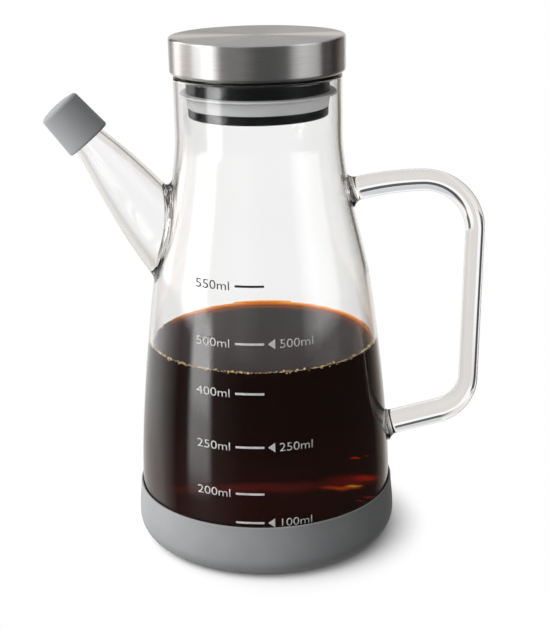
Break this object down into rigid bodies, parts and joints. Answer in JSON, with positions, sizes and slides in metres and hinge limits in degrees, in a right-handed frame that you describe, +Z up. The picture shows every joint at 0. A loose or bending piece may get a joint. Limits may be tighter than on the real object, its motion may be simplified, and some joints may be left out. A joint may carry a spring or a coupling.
{
  "type": "oil and vinegar dispenser",
  "caption": "Clear glass pouring flask with a fused spout and rod handle, a push-in stopper under a steel lid, a soft spout cap and a soft base boot.",
  "frame": {"origin": "middle of the underside of the base boot, which is the face that the dispenser stands on", "axes": "+Z up along the flask's axis, +X towards the handle, -X towards the spout"},
  "size_m": [0.1546, 0.0954, 0.1828],
  "materials": {
    "borosilicate_glass": "clear, flame polished",
    "dark_vinegar": "dark red-brown liquid with a mirror-smooth surface",
    "grey_silicone": "matte moulded",
    "pale_silicone": "satin moulded, slightly milky",
    "brushed_stainless_steel": "brushed round the side and in circles on the top",
    "black_polypropylene": "glossy moulded"
  },
  "bodies": {
    "bottle": {"flask": "borosilicate_glass", "spout": "borosilicate_glass", "handle": "borosilicate_glass", "vinegar": "dark_vinegar", "base_boot": "grey_silicone"},
    "lid": {"lid_shell": "brushed_stainless_steel", "stopper_body": "black_polypropylene", "seal_ring": "pale_silicone", "stopper_base": "black_polypropylene"},
    "cap": {"spout_cap": "grey_silicone"}
  },
  "joints": [
    {"name": "lid_lift", "type": "slide", "parent": "bottle", "child": "lid", "axis": [0, 0, 1], "range_m": [0, 0.045]},
    {"name": "cap_pull", "type": "slide", "parent": "bottle", "child": "cap", "axis": [-0.6428, 0, 0.766], "range_m": [0, 0.035]}
  ]
}
